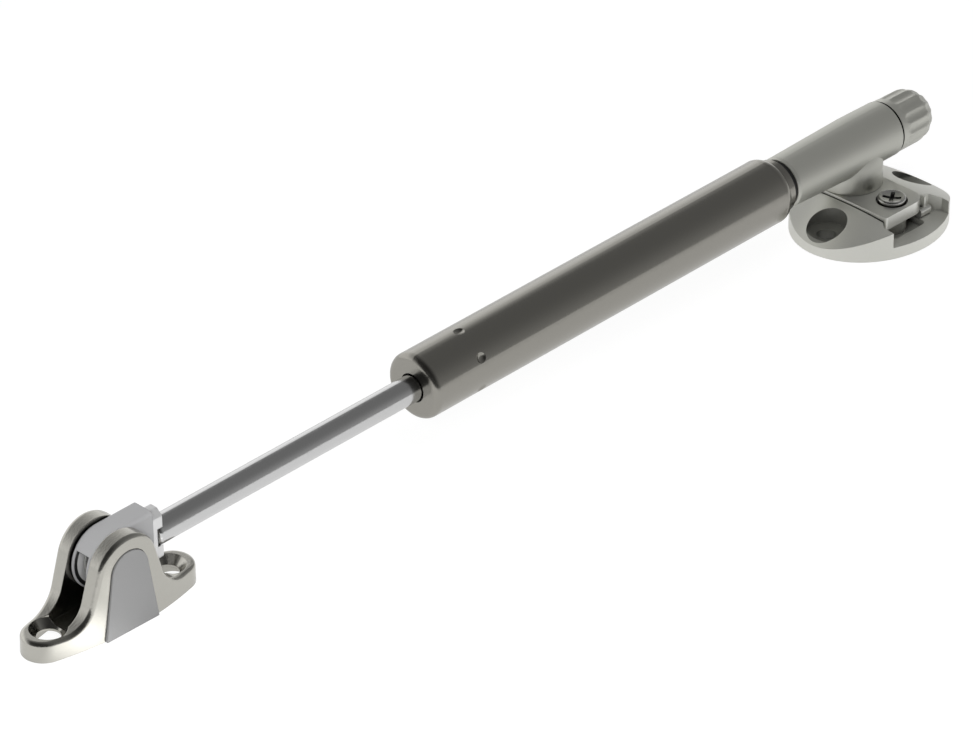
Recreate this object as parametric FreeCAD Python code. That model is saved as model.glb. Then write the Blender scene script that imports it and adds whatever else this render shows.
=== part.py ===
import FreeCAD, Part
import math
import os

from FreeCAD import Rotation, Vector

# Adjustable lid stay, in millimetres.
# The origin is the centre of the base plate on its mounting face, +Z points away from
# the cabinet wall and +X runs along the strut towards the adjusting knob.
# Strut pieces are drawn along a local X axis that starts at the swivel, and are then
# leaned so that both brackets stand on the plane Z = 0.

# Base plate
PLATE_HALF_LENGTH = 19.6
PLATE_HALF_WIDTH = 16.6
PLATE_CROWN = 8.6
PLATE_CROWN_R_LONG = 33.0
PLATE_CROWN_R_WIDE = 128.0
PLATE_FLOOR = 2.4
PLATE_SCREW_SPACING = 28.8
PLATE_SCREW_HOLE_R = 2.2
PLATE_DISH_R = 4.5
PLATE_DISH_FLOOR = 3.2
PLATE_DISH_CONE = 0.5
PLATE_EDGE_R = 0.5

# Channel of the base plate and the block in it
CHANNEL_LEFT = -7.6
CHANNEL_RIGHT = 6.3
CHANNEL_FRONT = -10.5
CHANNEL_REAR = 13.4
WINDOW_LEFT = -8.9
WINDOW_RIGHT = 11.2
WINDOW_SILL = 2.9
WINDOW_REAR = -9.2
BLOCK_GAP = 0.12
BLOCK_TOP = 8.3
BLOCK_FRONT = -11.2
BLOCK_ROOF = 4.6
BLOCK_SKIRT_WALL = 1.3
BLOCK_NOSE_BOTTOM = 4.6
BLOCK_CORNER_R = 0.6
BLOCK_NOSE_R = 3.6

# Locking screw
SCREW_X = -0.3
SCREW_Y = -6.6
SCREW_HEAD_R = 3.2
SCREW_HEAD_T = 2.0
SCREW_PROUD = 1.0
SCREW_RING_GAP = 0.4
SCREW_SHANK_R = 1.95
SCREW_BOSS_R = 3.4
SCREW_LENGTH = 7.2

# Swivel
SWIVEL_Y = 5.9
SWIVEL_PIN_R = 2.5
SWIVEL_PIN_TOP = 13.2
SWIVEL_WASHER_R = 4.4
SWIVEL_WASHER_T = 0.8
SWIVEL_RING_R = 3.5
SWIVEL_RING_T = 0.5
SWIVEL_RING_DEPTH = 0.5
SWIVEL_PIN_TAIL = 0.5
RUNNING_GAP = 0.05

# Pivot holder and its knob
STRUT_Z = 17.7
HOLDER_FRONT = -24.0
HOLDER_REAR = 10.2
HOLDER_FRONT_R = 5.95
HOLDER_MIDDLE_R = 6.57
HOLDER_REAR_R = 6.5
HOLDER_RIM = 0.7
HOLDER_RIM_DROP = 0.35
HOLDER_FOOT_R = 7.3
HOLDER_BOSS_R = 7.2
HOLDER_BOSS_HEIGHT = 4.6
HOLDER_BOSS_DRAW = 1.3
SPIGOT_R = 4.0
SPIGOT_LENGTH = 11.0
NEEDLE_R = 3.0
NEEDLE_CHAMBER_END = 1.5
SPINDLE_R = 1.6
SPINDLE_THREAD_R = 1.2
SPINDLE_RING_R = 2.5
SPINDLE_RING_T = 0.6
NEEDLE_LENGTH = 7.0
NEEDLE_TIP_LENGTH = 2.4
NEEDLE_TIP_GAP = 0.45
NEEDLE_TRAVEL = 1.2
SEAM_GAP = 0.45
KNOB_LENGTH = 12.15
KNOB_R = 6.3
KNOB_DOME_LENGTH = 5.3
KNOB_DOME_DROP = 3.3
KNOB_FLUTES = 15
KNOB_FLUTE_R = 2.4
KNOB_FLUTE_DEPTH = 0.42
KNOB_FLUTE_START = 3.0
KNOB_FLUTE_PHASE = 8.0
KNOB_BORE_DEPTH = 8.0

# Outer tube and what it holds
TUBE_LENGTH = 111.0
TUBE_R = 7.5
TUBE_WALL = 0.9
TUBE_NOSE_T = 1.3
TUBE_NOSE_R = 1.6
TUBE_TAIL_LENGTH = 2.3
TUBE_TAIL_R = 6.45
DIMPLE_COUNT = 6
DIMPLE_FROM_FRONT = 14.0
DIMPLE_R = 1.25
DIMPLE_DEPTH = 0.5
COLLAR_R = 6.2
COLLAR_LENGTH = 2.1
GAP_RING_R = 5.3
GAP_RING_WIDTH = 1.3
GAP_RING_SINK = 1.2
PLUG_DEPTH = 14.0
PLUG_BORE_R = 1.1
O_RING_GROOVE_W = 2.0
O_RING_GROOVE_DEPTH = 1.2
GUIDE_LENGTH = 16.0
SEAL_LENGTH = 3.0
BUFFER_LENGTH = 2.0
ROD_R = 3.0
ROD_HOLE_GAP = 0.3
PISTON_LENGTH = 10.0
PISTON_RING_W = 2.4
PISTON_RING_DEPTH = 1.2
PISTON_GAP = 0.06
ROD_TAIL_R = 2.0
NUT_T = 3.0
NUT_ACROSS = 7.0

# Rod end: fork, collar plate and pivot
REACH = 224.3
PIVOT_Z = 13.6
FORK_R = 7.3
FORK_WIDTH = 5.7
FORK_CHEEK = 0.95
FORK_REACH = 10.2
FORK_WEB = 1.4
FORK_HEEL = 2.4
FORK_MOUTH_DEG = 147.0
FORK_EDGE_R = 0.8
COLLAR_PLATE_T = 2.9
COLLAR_PLATE_WIDTH = 4.7
COLLAR_PLATE_WEB = 1.5
COLLAR_SOCKET_GAP = 0.15
COLLAR_PLATE_TOP = 6.15
COLLAR_PLATE_CORNER = 1.4
ROD_NECK_R = 2.0
ROD_SEAT_GAP = 0.1
ROD_END_R = 1.3
BUSH_R = 4.9
BUSH_GAP = 0.5
PIVOT_PIN_R = 1.9
PIVOT_PIN_END_GAP = 0.2

# Flap bracket
SLOT_WIDTH = 6.1
EAR_TOP_HALF_WIDTH = 6.75
EAR_BASE_HALF_WIDTH = 7.05
EAR_R = 7.9
EAR_SPREAD_DEG = 17.5
EAR_FLARE_R = 6.5
EAR_EDGE_R = 1.0
FOOT_T = 4.5
FOOT_R = 4.8
FLAP_HALF_LENGTH = 22.1
FLAP_SCREW_SPACING = 32.0
FLAP_SCREW_HOLE_R = 2.5
FLAP_COUNTERSINK_R = 4.0
FLAP_COUNTERSINK_DEPTH = 1.75
SLOT_FLOOR = 3.2
POCKET_START = 8.0
POCKET_WALL = 1.5
POCKET_HEIGHT = 2.2
COVER_R = 4.75
COVER_SPREAD_DEG = 9.15
COVER_T = 1.0
COVER_PROUD = 0.25
COVER_FIT = 0.1

# Worked out from the values above
PIVOT_X = -REACH
EAR_TOP_Z = PIVOT_Z + EAR_R
FOOT_X = FLAP_HALF_LENGTH - FOOT_R
LEAN_DEG = math.degrees(math.asin((STRUT_Z - PIVOT_Z) / REACH))
HOLDER_Z = STRUT_Z + HOLDER_FRONT * math.tan(math.radians(LEAN_DEG))
COLLAR_REAR = HOLDER_FRONT - GAP_RING_WIDTH
TUBE_REAR = COLLAR_REAR - COLLAR_LENGTH
TUBE_FRONT = TUBE_REAR - TUBE_LENGTH
TUBE_BORE_R = TUBE_R - TUBE_WALL
SPIGOT_END = HOLDER_FRONT + SPIGOT_LENGTH
GUIDE_FRONT = TUBE_FRONT + TUBE_NOSE_T
SEAL_FRONT = GUIDE_FRONT + GUIDE_LENGTH
BUFFER_FRONT = SEAL_FRONT + SEAL_LENGTH
PISTON_FRONT = BUFFER_FRONT + BUFFER_LENGTH + 0.3
PISTON_REAR = PISTON_FRONT + PISTON_LENGTH
FORK_REAR = PIVOT_X + FORK_REACH
COLLAR_PLATE_REAR = FORK_REAR + COLLAR_PLATE_T
ROD_FRONT = FORK_REAR + COLLAR_PLATE_WEB + ROD_SEAT_GAP
KNOB_FRONT = HOLDER_REAR + SEAM_GAP
KNOB_REAR = KNOB_FRONT + KNOB_LENGTH
SCREW_TOP = BLOCK_TOP + SCREW_PROUD
SKIRT_BOTTOM = PLATE_FLOOR

X_AXIS = Vector(1, 0, 0)
Y_AXIS = Vector(0, 1, 0)
Z_AXIS = Vector(0, 0, 1)


def box(x0, x1, y0, y1, z0, z1):
    return Part.makeBox(x1 - x0, y1 - y0, z1 - z0, Vector(x0, y0, z0))


def rod_x(x0, x1, radius, bore=0.0):
    """A round bar along the local X axis, with a bore if one is given."""
    bar = Part.makeCylinder(radius, x1 - x0, Vector(x0, 0, 0), X_AXIS)
    if bore:
        bar = bar.cut(Part.makeCylinder(bore, x1 - x0, Vector(x0, 0, 0), X_AXIS))
    return bar


def rod_y(x, z, y0, y1, radius):
    return Part.makeCylinder(radius, y1 - y0, Vector(x, y0, z), Y_AXIS)


def rod_z(x, y, z0, z1, radius):
    return Part.makeCylinder(radius, z1 - z0, Vector(x, y, z0), Z_AXIS)


def cone_z(x, y, z0, z1, r0, r1):
    return Part.makeCone(r0, r1, z1 - z0, Vector(x, y, z0), Z_AXIS)


def line(a, b):
    return Part.LineSegment(Vector(*a), Vector(*b)).toShape()


def arc(a, middle, b):
    return Part.Arc(Vector(*a), Vector(*middle), Vector(*b)).toShape()


def face(edges):
    return Part.Face(Part.Wire(edges))


def turned(edges, start=Vector(0, 0, 0), axis=X_AXIS):
    """Revolve a closed half profile about an axis."""
    return face(edges).revolve(start, axis, 360)


def turned_points(points):
    """Revolve a profile given as (x, radius) points about the local X axis."""
    corners = [Vector(x, 0, r) for x, r in points]
    wire = Part.makePolygon(corners + [corners[0]])
    return Part.Face(wire).revolve(Vector(0, 0, 0), X_AXIS, 360)


def on_strut(shape):
    """Lean a piece drawn along the local X axis and lift it to the swivel."""
    leaned = shape.copy()
    leaned.rotate(Vector(0, 0, 0), Y_AXIS, -LEAN_DEG)
    leaned.translate(Vector(0, SWIVEL_Y, STRUT_Z))
    return leaned


def on_level(shape):
    """Lift a piece of the holder, which stays level, to the holder's own axis."""
    return shape.translated(Vector(0, SWIVEL_Y, HOLDER_Z))


def at_flap(shape):
    """Place a piece drawn about the middle of the flap bracket's base."""
    placed = shape.copy()
    reach_level = REACH * math.cos(math.radians(LEAN_DEG))
    placed.translate(Vector(-reach_level, SWIVEL_Y, 0))
    return placed


def rounded_plan(x0, x1, y0, y1, radii):
    """A flat face with its own radius at each corner, from x0, y0 anticlockwise."""
    corners = [(x0, y0, 1, 1), (x1, y0, -1, 1), (x1, y1, -1, -1), (x0, y1, 1, -1)]
    starts = []
    for index, (x, y, sx, sy) in enumerate(corners):
        r = radii[index]
        along_y = Vector(x, y + sy * r, 0)
        along_x = Vector(x + sx * r, y, 0)
        inner = Vector(x + sx * r * (1 - math.sqrt(0.5)), y + sy * r * (1 - math.sqrt(0.5)), 0)
        first, last = (along_y, along_x) if index % 2 == 0 else (along_x, along_y)
        starts.append((first, inner, last, r))
    edges = []
    for index, (first, inner, last, r) in enumerate(starts):
        if r > 0:
            edges.append(Part.Arc(first, inner, last).toShape())
        following = starts[(index + 1) % 4][0]
        edges.append(Part.LineSegment(last, following).toShape())
    return face(edges)


def crown():
    """The solid under the base plate's domed top: the outer side of a wide ring."""
    ring_r = PLATE_CROWN_R_WIDE - PLATE_CROWN_R_LONG
    centre = Vector(0, 0, PLATE_CROWN - PLATE_CROWN_R_WIDE)
    return Part.makeTorus(ring_r, PLATE_CROWN_R_LONG, centre, X_AXIS)


def crown_height(x, y=0.0):
    """Height of the domed top above a point of the plate."""
    drop_long = PLATE_CROWN_R_LONG - math.sqrt(PLATE_CROWN_R_LONG ** 2 - x ** 2)
    drop_wide = PLATE_CROWN_R_WIDE - math.sqrt(PLATE_CROWN_R_WIDE ** 2 - y ** 2)
    return PLATE_CROWN - drop_long - drop_wide


def window_plan():
    """Plan of the open front window, its slanted cheeks and the channel behind it."""
    front = -PLATE_HALF_WIDTH - 2
    corner = CHANNEL_LEFT - WINDOW_LEFT
    points = [
        (WINDOW_LEFT, front),
        (WINDOW_RIGHT, front),
        (WINDOW_RIGHT, WINDOW_REAR - 2.4),
        (WINDOW_RIGHT - 2.0, WINDOW_REAR),
        (CHANNEL_RIGHT, WINDOW_REAR + 0.6),
        (CHANNEL_LEFT, CHANNEL_FRONT),
        (WINDOW_LEFT, CHANNEL_FRONT - corner),
    ]
    corners = [Vector(x, y, WINDOW_SILL) for x, y in points]
    return Part.Face(Part.makePolygon(corners + [corners[0]]))


def base_plate():
    ellipse = Part.Ellipse(Vector(0, 0, 0), PLATE_HALF_LENGTH, PLATE_HALF_WIDTH)
    oval = face([ellipse.toShape()]).extrude(Vector(0, 0, PLATE_CROWN + 1))
    plate = oval.common(crown())
    channel = box(CHANNEL_LEFT, CHANNEL_RIGHT, CHANNEL_FRONT, CHANNEL_REAR,
                  PLATE_FLOOR, PLATE_CROWN + 1)
    window = window_plan().extrude(Vector(0, 0, PLATE_CROWN))
    # The floor is let down under the block, where the swivel's ring turns.
    well_r = SWIVEL_WASHER_R + 0.5
    well = rod_z(0, SWIVEL_Y, PLATE_FLOOR - 1.2, PLATE_FLOOR, well_r)
    trough = rounded_plan(CHANNEL_LEFT + 1.4, CHANNEL_RIGHT - 1.4, BLOCK_FRONT - 1.4,
                          SCREW_Y, (1.5, 1.5, 0, 0))
    trough = trough.extrude(Vector(0, 0, PLATE_CROWN)).translated(Vector(0, 0, PLATE_FLOOR - 1.2))
    plate = plate.cut(channel.fuse(window).fuse(well).fuse(trough))
    boss_top = BLOCK_ROOF
    boss = rod_z(SCREW_X, SCREW_Y, PLATE_FLOOR - 1.2, boss_top, SCREW_BOSS_R)
    plate = plate.fuse(boss)
    bore_r = SCREW_SHANK_R + RUNNING_GAP
    plate = plate.cut(rod_z(SCREW_X, SCREW_Y, SCREW_TOP - SCREW_LENGTH - 0.4, boss_top, bore_r))
    for side in (-1, 1):
        x = side * PLATE_SCREW_SPACING / 2
        dish = rod_z(x, 0, PLATE_DISH_FLOOR, PLATE_CROWN, PLATE_DISH_R)
        cone = cone_z(x, 0, PLATE_DISH_FLOOR - PLATE_DISH_CONE, PLATE_DISH_FLOOR,
                      PLATE_SCREW_HOLE_R, PLATE_DISH_R - 0.4)
        hole = rod_z(x, 0, 0, PLATE_DISH_FLOOR, PLATE_SCREW_HOLE_R)
        plate = plate.cut(dish.fuse(cone).fuse(hole))
    return plate.removeSplitter()


def block_plan():
    return rounded_plan(CHANNEL_LEFT + BLOCK_GAP, CHANNEL_RIGHT - BLOCK_GAP, BLOCK_FRONT,
                        CHANNEL_REAR - BLOCK_GAP, (BLOCK_CORNER_R, BLOCK_NOSE_R, 0.6, 0.6))


def carriage_block():
    body = block_plan().extrude(Vector(0, 0, BLOCK_TOP - SKIRT_BOTTOM))
    body = body.translated(Vector(0, 0, SKIRT_BOTTOM))
    hollow = box(CHANNEL_LEFT + BLOCK_SKIRT_WALL, CHANNEL_RIGHT - BLOCK_SKIRT_WALL,
                 BLOCK_FRONT - 1, CHANNEL_REAR - BLOCK_SKIRT_WALL, 0, BLOCK_ROOF)
    # The nose is cut away below, in a round sweep that leaves the window open.
    nose_cut = rod_x(CHANNEL_LEFT - 1, CHANNEL_RIGHT + 1, 3.0)
    nose_cut = nose_cut.translated(Vector(0, BLOCK_FRONT - 0.6, BLOCK_NOSE_BOTTOM - 2.4))
    block = body.cut(hollow).cut(nose_cut)
    seat = rod_z(SCREW_X, SCREW_Y, SCREW_TOP - SCREW_HEAD_T, BLOCK_TOP, SCREW_HEAD_R + SCREW_RING_GAP)
    shank = rod_z(SCREW_X, SCREW_Y, 0, BLOCK_TOP, SCREW_SHANK_R + RUNNING_GAP)
    pin = rod_z(0, SWIVEL_Y, 0, BLOCK_TOP, SWIVEL_PIN_R + RUNNING_GAP)
    block = block.cut(seat.fuse(shank).fuse(pin))
    # Two ribs and a nib on the right flank reach into the window.
    flank = CHANNEL_RIGHT - BLOCK_GAP
    ribs = box(flank - 0.8, flank + 0.5, BLOCK_FRONT + 1.9, BLOCK_FRONT + 2.5, 4.4, 7.6)
    ribs = ribs.fuse(box(flank + 0.5, flank + 1.1, BLOCK_FRONT + 1.0, BLOCK_FRONT + 2.5, 4.4, 7.6))
    nib = box(flank - 1.0, flank + 2.4, BLOCK_FRONT + 0.4, BLOCK_FRONT + 2.2, WINDOW_SILL, 4.9)
    nib = nib.makeFillet(0.7, [e for e in nib.Edges if abs(e.BoundBox.ZLength) < 0.01
                               and e.BoundBox.YLength < 0.01])
    return block.fuse([ribs, nib]).removeSplitter()


def locking_screw():
    head_bottom = SCREW_TOP - SCREW_HEAD_T
    head = rod_z(SCREW_X, SCREW_Y, head_bottom, SCREW_TOP, SCREW_HEAD_R)
    rim = [e for e in head.Edges if abs(e.BoundBox.ZMin - SCREW_TOP) < 0.01]
    head = head.makeFillet(0.45, rim)
    shank = rod_z(SCREW_X, SCREW_Y, SCREW_TOP - SCREW_LENGTH, head_bottom, SCREW_SHANK_R)
    dish_r = 9.0
    dish = Part.makeSphere(dish_r, Vector(SCREW_X, SCREW_Y, SCREW_TOP + dish_r - 0.45))
    recess = box(-2.1, 2.1, -0.45, 0.45, -1.3, 0.5)
    cross = recess.fuse(box(-0.45, 0.45, -2.1, 2.1, -1.3, 0.5))
    cross = cross.translated(Vector(SCREW_X, SCREW_Y, SCREW_TOP))
    cross.rotate(Vector(SCREW_X, SCREW_Y, 0), Z_AXIS, 32)
    return head.fuse(shank).cut(dish).cut(cross).removeSplitter()


def swivel_stack():
    """Heights of the washer and the retaining ring under the block."""
    washer_top = BLOCK_ROOF - RUNNING_GAP
    washer_bottom = washer_top - SWIVEL_WASHER_T
    ring_bottom = washer_bottom - SWIVEL_RING_T
    return washer_top, washer_bottom, ring_bottom


def swivel_pin():
    washer_top, washer_bottom, ring_bottom = swivel_stack()
    pin = rod_z(0, SWIVEL_Y, ring_bottom - SWIVEL_PIN_TAIL, SWIVEL_PIN_TOP, SWIVEL_PIN_R)
    neck_r = SWIVEL_PIN_R - SWIVEL_RING_DEPTH
    groove = rod_z(0, SWIVEL_Y, ring_bottom, washer_bottom, SWIVEL_PIN_R)
    groove = groove.cut(rod_z(0, SWIVEL_Y, ring_bottom, washer_bottom, neck_r))
    return pin.cut(groove)


def swivel_washer():
    washer_top, washer_bottom, ring_bottom = swivel_stack()
    disc = rod_z(0, SWIVEL_Y, washer_bottom, washer_top, SWIVEL_WASHER_R)
    return disc.cut(rod_z(0, SWIVEL_Y, washer_bottom, washer_top, SWIVEL_PIN_R))


def swivel_ring():
    washer_top, washer_bottom, ring_bottom = swivel_stack()
    neck_r = SWIVEL_PIN_R - SWIVEL_RING_DEPTH
    ring = rod_z(0, SWIVEL_Y, ring_bottom, washer_bottom, SWIVEL_RING_R)
    ring = ring.cut(rod_z(0, SWIVEL_Y, ring_bottom, washer_bottom, neck_r))
    mouth = box(neck_r * 0.5, SWIVEL_RING_R + 1, SWIVEL_Y - 0.9, SWIVEL_Y + 0.9,
                ring_bottom, washer_bottom)
    return ring.cut(mouth)


def holder_boss():
    """The round foot that turns on the block; its shoulder is drawn in under the barrel."""
    foot = BLOCK_TOP + RUNNING_GAP
    shoulder = foot + HOLDER_BOSS_HEIGHT
    top_r = HOLDER_BOSS_R - HOLDER_BOSS_DRAW
    middle_r = HOLDER_BOSS_R - HOLDER_BOSS_DRAW * 0.25
    edges = [
        line((0, 0, foot), (HOLDER_FOOT_R, 0, foot)),
        line((HOLDER_FOOT_R, 0, foot), (HOLDER_BOSS_R, 0, shoulder)),
        arc((HOLDER_BOSS_R, 0, shoulder), (middle_r, 0, (shoulder + HOLDER_Z) / 2), (top_r, 0, HOLDER_Z)),
        line((top_r, 0, HOLDER_Z), (0, 0, HOLDER_Z)),
        line((0, 0, HOLDER_Z), (0, 0, foot)),
    ]
    return turned(edges, Vector(0, 0, 0), Z_AXIS).translated(Vector(0, SWIVEL_Y, 0))


def pivot_holder():
    barrel = turned_points([
        (HOLDER_FRONT, 0),
        (HOLDER_FRONT, HOLDER_FRONT_R - HOLDER_RIM_DROP),
        (HOLDER_FRONT + HOLDER_RIM, HOLDER_FRONT_R),
        (0, HOLDER_MIDDLE_R),
        (HOLDER_REAR, HOLDER_REAR_R),
        (HOLDER_REAR, 0),
    ])
    bores = rod_x(SPIGOT_END, NEEDLE_CHAMBER_END, NEEDLE_R + RUNNING_GAP)
    bores = bores.fuse(rod_x(NEEDLE_CHAMBER_END, HOLDER_REAR, SPINDLE_R + RUNNING_GAP))
    # The plug's spigot enters along the leaning strut.
    socket = rod_x(HOLDER_FRONT - 1, SPIGOT_END, SPIGOT_R)
    socket = socket.fuse(rod_x(HOLDER_FRONT - 1, HOLDER_FRONT + GAP_RING_SINK, GAP_RING_R))
    boss = holder_boss().cut(on_level(rod_x(-9, 9, HOLDER_FRONT_R - 0.6)))
    body = on_level(barrel).fuse(boss)
    body = body.cut(on_level(bores)).cut(on_strut(socket))
    body = body.cut(rod_z(0, SWIVEL_Y, 0, SWIVEL_PIN_TOP, SWIVEL_PIN_R))
    return body.removeSplitter()


def dome_flute(dome_start):
    """The part of a flute that runs down the knob's rounded end, along the dome's mean slope."""
    slope = math.atan2(KNOB_DOME_DROP, KNOB_DOME_LENGTH)
    half = math.sqrt(0.5)
    lift = KNOB_FLUTE_R - KNOB_FLUTE_DEPTH
    middle_x = dome_start + KNOB_DOME_LENGTH * half + lift * math.sin(slope)
    middle_r = KNOB_R - KNOB_DOME_DROP * (1 - half) + lift * math.cos(slope)
    along = Vector(math.cos(slope), 0, -math.sin(slope))
    start = Vector(middle_x, 0, middle_r) - along * KNOB_DOME_LENGTH
    return Part.makeCylinder(KNOB_FLUTE_R, 2 * KNOB_DOME_LENGTH, start, along)


def adjusting_knob():
    dome_start = KNOB_REAR - KNOB_DOME_LENGTH
    cap_r = KNOB_R - KNOB_DOME_DROP
    dome = Part.Ellipse(Vector(KNOB_REAR, 0, cap_r), Vector(dome_start, 0, KNOB_R),
                        Vector(dome_start, 0, cap_r))
    edges = [
        line((KNOB_FRONT, 0, 0), (KNOB_FRONT, 0, KNOB_R)),
        line((KNOB_FRONT, 0, KNOB_R), (dome_start, 0, KNOB_R)),
        Part.ArcOfEllipse(dome, 0, math.pi / 2).toShape(),
        line((KNOB_REAR, 0, cap_r), (KNOB_REAR, 0, 0)),
        line((KNOB_REAR, 0, 0), (KNOB_FRONT, 0, 0)),
    ]
    knob = turned(edges)
    flute_axis = KNOB_R + KNOB_FLUTE_R - KNOB_FLUTE_DEPTH
    start = KNOB_FRONT + KNOB_FLUTE_START
    flute = Part.makeCylinder(KNOB_FLUTE_R, KNOB_LENGTH, Vector(start, 0, flute_axis), X_AXIS)
    flute = flute.fuse(Part.makeSphere(KNOB_FLUTE_R, Vector(start, 0, flute_axis)))
    flute = flute.fuse(dome_flute(dome_start))
    for index in range(KNOB_FLUTES):
        cutter = flute.copy()
        cutter.rotate(Vector(0, 0, 0), X_AXIS, KNOB_FLUTE_PHASE + 360.0 * index / KNOB_FLUTES)
        knob = knob.cut(cutter)
    bore = rod_x(KNOB_FRONT, KNOB_FRONT + KNOB_BORE_DEPTH, SPINDLE_R)
    return on_level(knob.cut(bore).removeSplitter())


def adjusting_spindle():
    ring_rear = NEEDLE_CHAMBER_END - RUNNING_GAP
    ring_front = ring_rear - SPINDLE_RING_T
    needle_front = SPIGOT_END + NEEDLE_TRAVEL + RUNNING_GAP * 4
    spindle = rod_x(ring_front - 0.6, KNOB_FRONT + KNOB_BORE_DEPTH, SPINDLE_R)
    spindle = spindle.fuse(rod_x(needle_front + NEEDLE_LENGTH - 4.6, ring_front - 0.6, SPINDLE_THREAD_R))
    groove = rod_x(ring_front, ring_rear, SPINDLE_R, SPINDLE_THREAD_R)
    return on_level(spindle.cut(groove).removeSplitter())


def spindle_ring():
    ring_rear = NEEDLE_CHAMBER_END - RUNNING_GAP
    ring_front = ring_rear - SPINDLE_RING_T
    ring = rod_x(ring_front, ring_rear, SPINDLE_RING_R, SPINDLE_THREAD_R)
    mouth = box(ring_front, ring_rear, -0.6, 0.6, SPINDLE_THREAD_R * 0.5, SPINDLE_RING_R + 1)
    return on_level(ring.cut(mouth))


def valve_needle():
    """The nut that the spindle drives towards the valve seat in the plug."""
    front = SPIGOT_END + NEEDLE_TRAVEL + RUNNING_GAP * 4
    tip_r = PLUG_BORE_R - NEEDLE_TIP_GAP
    needle = turned_points([
        (front - NEEDLE_TIP_LENGTH, 0),
        (front - NEEDLE_TIP_LENGTH, tip_r * 0.4),
        (front, tip_r),
        (front, NEEDLE_R),
        (front + NEEDLE_LENGTH, NEEDLE_R),
        (front + NEEDLE_LENGTH, 0),
    ])
    thread = rod_x(front + 1.0, front + NEEDLE_LENGTH, SPINDLE_THREAD_R + RUNNING_GAP)
    return on_level(needle.cut(thread))


def tube_dimples():
    x = TUBE_FRONT + DIMPLE_FROM_FRONT
    ball_r = (DIMPLE_R ** 2 + DIMPLE_DEPTH ** 2) / (2 * DIMPLE_DEPTH)
    balls = []
    for index in range(DIMPLE_COUNT):
        turn = math.radians(90 + 360.0 * index / DIMPLE_COUNT)
        height = TUBE_R + ball_r - DIMPLE_DEPTH
        centre = Vector(x, height * math.cos(turn), height * math.sin(turn))
        balls.append(Part.makeSphere(ball_r, centre))
    return balls


def outer_tube():
    nose = TUBE_NOSE_R
    bend = math.sqrt(0.5)
    tail = TUBE_REAR - TUBE_TAIL_LENGTH
    tail_r = TUBE_TAIL_R
    edges = [
        line((TUBE_FRONT, 0, ROD_R + ROD_HOLE_GAP), (TUBE_FRONT, 0, TUBE_R - nose)),
        arc((TUBE_FRONT, 0, TUBE_R - nose),
            (TUBE_FRONT + nose * (1 - bend), 0, TUBE_R - nose * (1 - bend)),
            (TUBE_FRONT + nose, 0, TUBE_R)),
        line((TUBE_FRONT + nose, 0, TUBE_R), (tail, 0, TUBE_R)),
        arc((tail, 0, TUBE_R),
            (tail + TUBE_TAIL_LENGTH * 0.72, 0, TUBE_R - (TUBE_R - tail_r) * 0.34),
            (TUBE_REAR, 0, tail_r)),
        line((TUBE_REAR, 0, tail_r), (tail, 0, TUBE_BORE_R)),
        line((tail, 0, TUBE_BORE_R), (GUIDE_FRONT, 0, TUBE_BORE_R)),
        line((GUIDE_FRONT, 0, TUBE_BORE_R), (GUIDE_FRONT, 0, ROD_R + ROD_HOLE_GAP)),
        line((GUIDE_FRONT, 0, ROD_R + ROD_HOLE_GAP), (TUBE_FRONT, 0, ROD_R + ROD_HOLE_GAP)),
    ]
    tube = turned(edges).cut(tube_dimples())
    return on_strut(tube)


def front_guide():
    guide = rod_x(GUIDE_FRONT, SEAL_FRONT, TUBE_BORE_R, ROD_R + RUNNING_GAP)
    middle = TUBE_FRONT + DIMPLE_FROM_FRONT
    groove = rod_x(middle - DIMPLE_R, middle + DIMPLE_R, TUBE_BORE_R, TUBE_BORE_R - DIMPLE_DEPTH)
    return on_strut(guide.cut(groove))


def rod_seal():
    return on_strut(rod_x(SEAL_FRONT, BUFFER_FRONT, TUBE_BORE_R, ROD_R + RUNNING_GAP))


def stop_buffer():
    return on_strut(rod_x(BUFFER_FRONT, BUFFER_FRONT + BUFFER_LENGTH, TUBE_BORE_R - 0.2,
                          ROD_R + ROD_HOLE_GAP))


def rear_plug():
    """Closes the tube, carries the valve seat and screws into the holder."""
    front = TUBE_REAR - PLUG_DEPTH
    tail = TUBE_REAR - TUBE_TAIL_LENGTH
    plug = turned_points([
        (front, 0),
        (front, TUBE_BORE_R),
        (tail, TUBE_BORE_R),
        (TUBE_REAR, COLLAR_R),
        (COLLAR_REAR - 0.25, COLLAR_R),
        (COLLAR_REAR, COLLAR_R - 0.25),
        (COLLAR_REAR, SPIGOT_R),
        (SPIGOT_END, SPIGOT_R),
        (SPIGOT_END, 0),
    ])
    groove_front = front + 4.0
    groove = rod_x(groove_front, groove_front + O_RING_GROOVE_W, TUBE_BORE_R,
                   TUBE_BORE_R - O_RING_GROOVE_DEPTH)
    bore = rod_x(front, SPIGOT_END, PLUG_BORE_R)
    return on_strut(plug.cut(groove).cut(bore))


def plug_o_ring():
    middle = TUBE_REAR - PLUG_DEPTH + 4.0 + O_RING_GROOVE_W / 2
    section_r = O_RING_GROOVE_DEPTH / 2
    ring = Part.makeTorus(TUBE_BORE_R - section_r, section_r, Vector(middle, 0, 0), X_AXIS)
    return on_strut(ring)


def gap_ring():
    return on_strut(rod_x(COLLAR_REAR, HOLDER_FRONT + GAP_RING_SINK, GAP_RING_R, SPIGOT_R))


def piston():
    body = rod_x(PISTON_FRONT, PISTON_REAR, TUBE_BORE_R - PISTON_GAP, ROD_TAIL_R + RUNNING_GAP)
    middle = (PISTON_FRONT + PISTON_REAR) / 2
    groove = rod_x(middle - PISTON_RING_W / 2, middle + PISTON_RING_W / 2,
                   TUBE_BORE_R, TUBE_BORE_R - PISTON_RING_DEPTH)
    return on_strut(body.cut(groove))


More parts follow.
